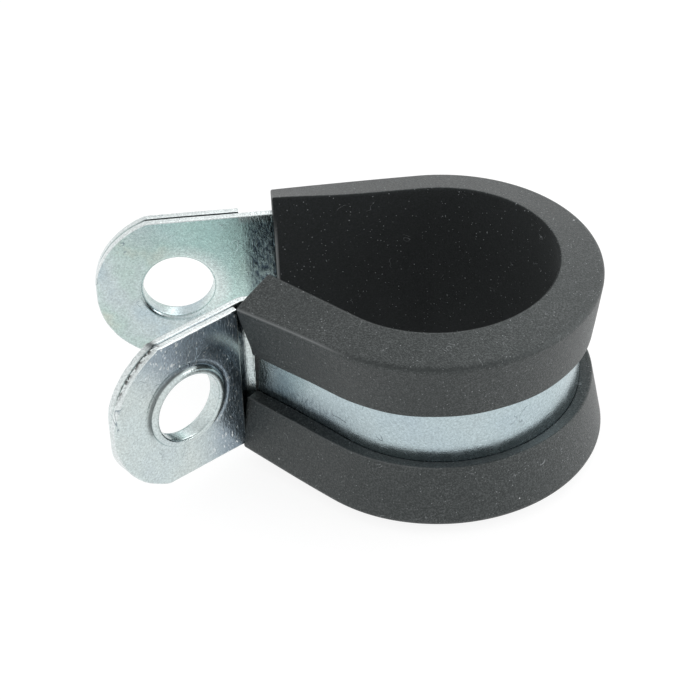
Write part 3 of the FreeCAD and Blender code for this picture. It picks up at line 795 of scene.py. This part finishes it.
def zinc_plated_steel():
    """Zinc-plated steel with a clear blue passivation, tumbled in a barrel.

    Zinc gives a bright, slightly milky metal; the passivation tints it from pale blue
    to sea green in clouds; tumbling leaves fine scratches that cross at all angles, and
    the press leaves short lines across the strip where it was held.  Painted into the
    colour are highlights on the rims and round the rear hole, shade in the seams, and
    dark reflections beside the folds, on the front leg and on the front ear.
    """
    made, tree = new_material("zinc_plated_steel")
    place = add(tree, "TexCoord").outputs["Object"]
    unrolled = add(tree, "UVMap", uv_map="unrolled").outputs["UV"]
    edge, seam, press, brushed, loop, dark_reflection, torn, teal = [
        add(tree, "Attribute", attribute_name=name).outputs["Fac"]
        for name in ("edge", "seam", "press", "brushed", "loop", "dark_reflection", "torn", "teal")]
    tint = passivation(tree, place, unrolled, loop, teal)

    # The painted dark reflection on the front ear, and the press darkening, leave one bright streak clear,
    # which is a painted reflection.
    covered = painted_streak(tree, unrolled)
    press, dark_reflection = [add(tree, "Math", {0: part, 1: covered}, operation="MULTIPLY").outputs[0]
                   for part in (press, dark_reflection)]
    # Painted dark reflection: the colour darkens to slate blue over the front ear's outer face.
    reflection_share = add(tree, "Math", {0: dark_reflection, 1: 0.7}, operation="MULTIPLY")
    reflected = add(tree, "MixRGB", {"Fac": reflection_share.outputs[0], "Color1": tint, "Color2": linear("#8798aa")})
    # Painted highlight: the rounded rims are made nearly white.
    bright = add(tree, "MixRGB", {"Fac": edge, "Color1": reflected.outputs[0], "Color2": linear("#e0e7e7")})

    # Lines left by rolling, along the strip, and by the press, across it; where the press marks lie, the
    # colour darkens along them, partly as press marks and partly as a painted dark reflection.
    stretch = add(tree, "Mapping", {"Vector": unrolled, "Scale": (0.15, 9.0, 1.0)})
    rolled = add(tree, "TexNoise", {"Vector": stretch.outputs[0], "Scale": 1.0, "Detail": 4.0})
    rolled = add(tree, "Math", {0: rolled.outputs["Fac"], 1: 0.25}, operation="MULTIPLY")
    across = add(tree, "Mapping", {"Vector": unrolled, "Scale": (6.5, 1.9, 1.0)})
    lines = add(tree, "TexNoise", {"Vector": across.outputs[0], "Scale": 1.0, "Detail": 5.0,
                                   "Distortion": 0.3})
    dark = add(tree, "MapRange", {"Value": lines.outputs["Fac"], "From Min": 0.38, "From Max": 0.62,
                                  "To Min": 1.0, "To Max": 0.55})
    dark = add(tree, "Math", {0: dark.outputs[0], 1: press}, operation="MULTIPLY")
    flat = add(tree, "Math", {0: 1.0, 1: edge}, operation="SUBTRACT")
    dark = add(tree, "Math", {0: dark.outputs[0], 1: flat.outputs[0]}, operation="MULTIPLY")
    pressed = add(tree, "MixRGB", {"Fac": dark.outputs[0], "Color1": bright.outputs[0],
                                   "Color2": linear("#4c5b66")})
    lines = add(tree, "Math", {0: lines.outputs["Fac"], 1: brushed}, operation="MULTIPLY")
    ribbed = add(tree, "Math", {0: lines.outputs[0], 1: 2.2, 2: rolled.outputs[0]}, operation="MULTIPLY_ADD")

    # Scratches of the barrel, as hair lines that cross at all angles.
    hair = hairs(tree, place, size=2.1, kink=0.9, width=0.009, patch=1.4, least=0.63, most=0.67)
    scratched = add(tree, "MixRGB", {"Fac": hair, "Color1": pressed.outputs[0],
                                     "Color2": linear("#84929a")})

    # Within the painted dark reflection are small bright nicks, 0.2 mm long on the strip and twice that
    # across it.
    nicked = add(tree, "Mapping", {"Vector": unrolled, "Scale": (5.0, 2.6, 1.0)})
    nicks = add(tree, "TexNoise", {"Vector": nicked.outputs[0], "Scale": 1.0, "Detail": 2.0,
                                   "Distortion": 0.8})
    nicks = add(tree, "MapRange", {"Value": nicks.outputs["Fac"], "From Min": 0.6, "From Max": 0.69})
    nicks = add(tree, "Math", {0: nicks.outputs[0], 1: dark_reflection}, operation="MULTIPLY")
    scratched = add(tree, "MixRGB", {"Fac": nicks.outputs[0], "Color1": scratched.outputs[0],
                                     "Color2": linear("#eef4f5")})
    marks = add(tree, "Math", {0: hair, 1: 0.8, 2: ribbed.outputs[0]}, operation="MULTIPLY_ADD")

    # Grit of the plate, lighter and darker; it is drawn at 0.16 mm, coarser than the real one.
    grit = add(tree, "TexNoise", {"Vector": place, "Scale": 1 / (0.16 * MM), "Detail": 3.0, "Roughness": 0.7})
    lift = add(tree, "MapRange", {"Value": grit.outputs["Fac"], "From Min": 0.3, "From Max": 0.7,
                                  "To Min": 0.72, "To Max": 1.12})
    shade = add(tree, "MixRGB", {"Fac": 1.0, "Color1": scratched.outputs[0], "Color2": lift.outputs[0]},
                blend_type="MULTIPLY")
    # Painted shade darkens the seam between the plies, the torn rim and the collar's root.
    colour = add(tree, "MixRGB", {"Fac": seam, "Color1": shade.outputs[0], "Color2": linear("#33393a")})

    # Along the seam beside the torn corner, shade is painted in dark beads a quarter of a millimetre apart.
    shade_beads = add(tree, "TexNoise", {"Vector": place, "Scale": 1 / (0.26 * MM), "Detail": 1.0})
    shade_beads = add(tree, "MapRange", {"Value": shade_beads.outputs["Fac"], "From Min": 0.42, "From Max": 0.56})
    shade_beads = add(tree, "Math", {0: shade_beads.outputs[0], 1: torn}, operation="MULTIPLY")
    colour = add(tree, "MixRGB", {"Fac": shade_beads.outputs[0], "Color1": colour.outputs[0],
                                  "Color2": linear("#3c3836")})

    # The sheet is a little wavy, and the marks and the grit stand on it.
    waves = add(tree, "TexNoise", {"Vector": place, "Scale": 1 / (2.2 * MM), "Detail": 2.0})
    bump = add(tree, "Bump", {"Height": waves.outputs["Fac"], "Strength": 0.5, "Distance": 0.05 * MM})
    for height, distance in ((marks.outputs[0], 0.03), (grit.outputs["Fac"], 0.018)):
        bump = add(tree, "Bump", {"Height": height, "Strength": 0.5, "Distance": distance * MM,
                                  "Normal": bump.outputs[0]})

    # The barrel dulled the plate in patches.
    wear = add(tree, "TexNoise", {"Vector": place, "Scale": 1 / (1.1 * MM), "Detail": 6.0, "Roughness": 0.6})
    dull = add(tree, "MapRange", {"Value": wear.outputs["Fac"], "From Min": 0.3, "From Max": 0.7,
                                  "To Min": 0.17, "To Max": 0.29})
    dull = add(tree, "Math", {0: loop, 1: 0.02, 2: dull.outputs[0]}, operation="MULTIPLY_ADD")
    shader = add(tree, "BsdfPrincipled", {"Base Color": colour.outputs[0], "Metallic": 1.0,
                                          "Roughness": dull.outputs[0], "Normal": bump.outputs[0]})
    add(tree, "OutputMaterial", {"Surface": shader.outputs[0]})
    return made


def epdm_rubber():
    """EPDM rubber, extruded and cut: satin charcoal with a fine grain and pale dust.

    The carbon-filled surface scatters little light and mirrors its surroundings softly,
    and static makes dust and talc cling to it as tiny pale specks.  Shade is painted into
    the bore and a crease beside the rims' corners, and highlights on the lower lip's edge
    and beside the rear cut end.
    """
    made, tree = new_material("epdm_rubber")
    place = add(tree, "TexCoord").outputs["Object"]
    bore, crease, flash_and_highlight = [add(tree, "Attribute", attribute_name=name).outputs["Fac"]
                           for name in ("bore", "crease", "flash_and_highlight")]
    clouds = add(tree, "TexNoise", {"Vector": place, "Scale": 1 / (4 * MM), "Detail": 5.0, "Roughness": 0.6})
    tint = add(tree, "ValToRGB", {"Fac": clouds.outputs["Fac"]},
               stops=((0.3, "#161717"), (0.55, "#1b1c1c"), (0.75, "#202121")))

    # Painted shade: the bore is darker, and a dark crease runs beside the rims' corners.
    dark = add(tree, "MixRGB", {"Fac": bore, "Color1": tint.outputs["Color"], "Color2": linear("#060607")})
    lined = add(tree, "MixRGB", {"Fac": crease, "Color1": dark.outputs[0], "Color2": linear("#0a0a0a")})

    # Grain of the skin, lighter and darker; it is drawn at 0.125 mm, coarser than the real one.
    grain = add(tree, "TexNoise", {"Vector": place, "Scale": 1 / (0.125 * MM), "Detail": 2.0,
                                   "Roughness": 0.8})
    lift = add(tree, "MapRange", {"Value": grain.outputs["Fac"], "From Min": 0.43, "From Max": 0.67,
                                  "To Min": 0.0, "To Max": 6.5})
    dusty = add(tree, "MixRGB", {"Fac": 1.0, "Color1": lined.outputs[0], "Color2": lift.outputs[0]},
                blend_type="MULTIPLY")

    # Pale lines: a moulding line on the rims' corners and painted highlights on the lower lip and beside the
    # rear cut end; and lint as a few hair lines.
    dusty = add(tree, "MixRGB", {"Fac": flash_and_highlight, "Color1": dusty.outputs[0], "Color2": linear("#888a8b")})
    hair = hairs(tree, place, size=1.3, kink=1.2, width=0.01, patch=1.5, least=0.73, most=0.76)
    dusty = add(tree, "MixRGB", {"Fac": hair, "Color1": dusty.outputs[0], "Color2": linear("#85888a")})

    # Dust in three sizes: small cells, of which some hold a speck of their own size.
    for size, least, most, radius, colour in ((0.24, 0.3, 1.0, 0.18, "#8d9092"),
                                              (0.6, 0.4, 1.0, 0.075, "#9fa2a4"),
                                              (1.5, 0.6, 0.95, 0.05, "#c6c8c9")):
        cells = add(tree, "TexVoronoi", {"Vector": place, "Scale": 1 / (size * MM), "Randomness": 1.0})
        red = add(tree, "SeparateColor", {0: cells.outputs["Color"]})
        pick = add(tree, "MapRange", {"Value": red.outputs[0], "From Min": least, "From Max": most,
                                      "To Min": 0.0, "To Max": radius})
        speck = add(tree, "Math", {0: cells.outputs["Distance"], 1: pick.outputs[0]}, operation="LESS_THAN")
        dusty = add(tree, "MixRGB", {"Fac": speck.outputs[0], "Color1": dusty.outputs[0],
                                     "Color2": linear(colour)})

    # The extrusion swells a little, the grain stands on it, and the bore is duller.
    swell = add(tree, "TexNoise", {"Vector": place, "Scale": 1 / (1.6 * MM), "Detail": 2.0})
    first = add(tree, "Bump", {"Height": swell.outputs["Fac"], "Strength": 0.3, "Distance": 0.08 * MM})
    bump = add(tree, "Bump", {"Height": grain.outputs["Fac"], "Strength": 0.8, "Distance": 0.07 * MM,
                              "Normal": first.outputs[0]})
    rough = add(tree, "MapRange", {"Value": clouds.outputs["Fac"], "To Min": 0.36, "To Max": 0.48})
    rough = add(tree, "Math", {0: bore, 1: 0.5, 2: rough.outputs[0]}, operation="MULTIPLY_ADD")
    shader = add(tree, "BsdfPrincipled", {"Base Color": dusty.outputs[0], "Roughness": rough.outputs[0],
                                          "Normal": bump.outputs[0], "IOR": 1.58,
                                          "Specular Tint": (0.9, 1.0, 1.0, 1.0)})
    add(tree, "OutputMaterial", {"Surface": shader.outputs[0]})
    return made


def seen_directly(tree):
    """One for rays from the camera, off a mirror or through a clear piece, else nought."""
    path = add(tree, "LightPath").outputs
    seen = path["Is Camera Ray"]
    for kind in ("Is Glossy Ray", "Is Transmission Ray"):
        seen = add(tree, "Math", {0: seen, 1: path[kind]}, operation="MAXIMUM").outputs[0]
    return seen


def surroundings():
    """White all round, a little greyer overhead, and weaker as a light than it looks."""
    world = bpy.data.worlds.new("studio")
    bpy.context.scene.world = world
    world.use_nodes = True
    tree = world.node_tree
    tree.nodes.clear()
    upward = add(tree, "SeparateXYZ", {0: add(tree, "TexCoord").outputs["Generated"]})
    ceiling = add(tree, "MapRange", {"Value": upward.outputs["Z"], "From Min": 0.5, "From Max": 0.9,
                                     "To Min": 1.0, "To Max": 0.75}, interpolation_type="SMOOTHSTEP")
    strength = add(tree, "MapRange", {"Value": seen_directly(tree), "To Min": 0.65,
                                      "To Max": ceiling.outputs[0]})
    sky = add(tree, "Background", {"Color": (1, 1, 1, 1), "Strength": strength.outputs[0]})
    add(tree, "OutputWorld", {"Surface": sky.outputs[0]})


def paper_floor():
    """White paper just under the object, which glows evenly and takes a soft shadow.

    Light that isn't seen directly meets a plain pale sheet without the glow.
    """
    reach = 2000
    gap = 0.01
    bottom = cad_box[0].z / MM - gap
    corners = np.array([[-reach, -reach, bottom], [reach, -reach, bottom],
                        [reach, reach, bottom], [-reach, reach, bottom]])
    mesh = bpy.data.meshes.new("floor")
    mesh.from_pydata((corners * MM).tolist(), [], [(0, 1, 2, 3)])
    floor = bpy.data.objects.new("floor", mesh)
    bpy.context.scene.collection.objects.link(floor)
    paper, tree = new_material("white_paper")
    seen = seen_directly(tree)
    glow = add(tree, "MapRange", {"Value": seen, "To Min": 0.0, "To Max": 0.87})
    pale = add(tree, "MapRange", {"Value": seen, "To Min": 0.8, "To Max": 0.22})
    matt = add(tree, "BsdfDiffuse", {"Color": pale.outputs[0]})
    light = add(tree, "Emission", {"Color": (1, 1, 1, 1), "Strength": glow.outputs[0]})
    both = add(tree, "AddShader", {0: matt.outputs[0], 1: light.outputs[0]})
    add(tree, "OutputMaterial", {"Surface": both.outputs[0]})
    mesh.materials.append(paper)


def studio():
    """Pale paper floor, white surroundings and three soft lamps."""
    bpy.context.scene.view_settings.view_transform = "Standard"
    surroundings()
    paper_floor()
    soft_box("key", (130, 210, 315), size=340, power=0.41)
    soft_box("fill", (-260, -160, 240), size=300, power=0.05)
    soft_box("side", (380, -60, 110), size=300, power=0.8)


def soft_box(name, place, size, power):
    """A square area lamp at a place in millimetres, turned to the object."""
    lamp = bpy.data.lights.new(name, "AREA")
    lamp.shape = "SQUARE"
    lamp.size = size * MM
    lamp.energy = power
    holder = bpy.data.objects.new(name, lamp)
    holder.location = Vector(place) * MM
    holder.rotation_euler = (-Vector(place)).to_track_quat("-Z", "Y").to_euler()
    bpy.context.scene.collection.objects.link(holder)


def photo_camera():
    """The camera: elevation, roll and turn about a point of the object, at a distance."""
    lift = math.radians(37.6005)
    roll = math.radians(2.71996)
    turn = math.radians(-3.67986)
    distance = 191.78
    rise = 1.8434
    aim = Vector((7.5317, 3.0328, 0))
    look = Vector((0, math.cos(lift), -math.sin(lift)))
    right = Vector((1, 0, 0))
    up = Vector((0, math.sin(lift), math.cos(lift)))
    across = math.cos(roll) * right - math.sin(roll) * up
    tall = math.sin(roll) * right + math.cos(roll) * up
    centre = rise * tall - distance * look - aim
    pose = Matrix((across, tall, -look)).transposed().to_4x4()
    pose.translation = centre * MM
    data = bpy.data.cameras.new("camera")
    data.sensor_width = 36
    data.lens = 139.08
    data.shift_x = 0.0217
    data.clip_start = 10 * MM
    data.clip_end = 20000 * MM
    camera = bpy.data.objects.new("camera", data)
    camera.matrix_world = Matrix.Rotation(turn, 4, "Z") @ pose
    bpy.context.scene.collection.objects.link(camera)
    bpy.context.scene.camera = camera


band = make_band()
band.data.materials.append(zinc_plated_steel())
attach(band, "root")
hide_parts("steel_band")

liner = make_liner()
liner.data.materials.append(epdm_rubber())
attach(liner, "root")
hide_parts("rubber_liner")

studio()
photo_camera()
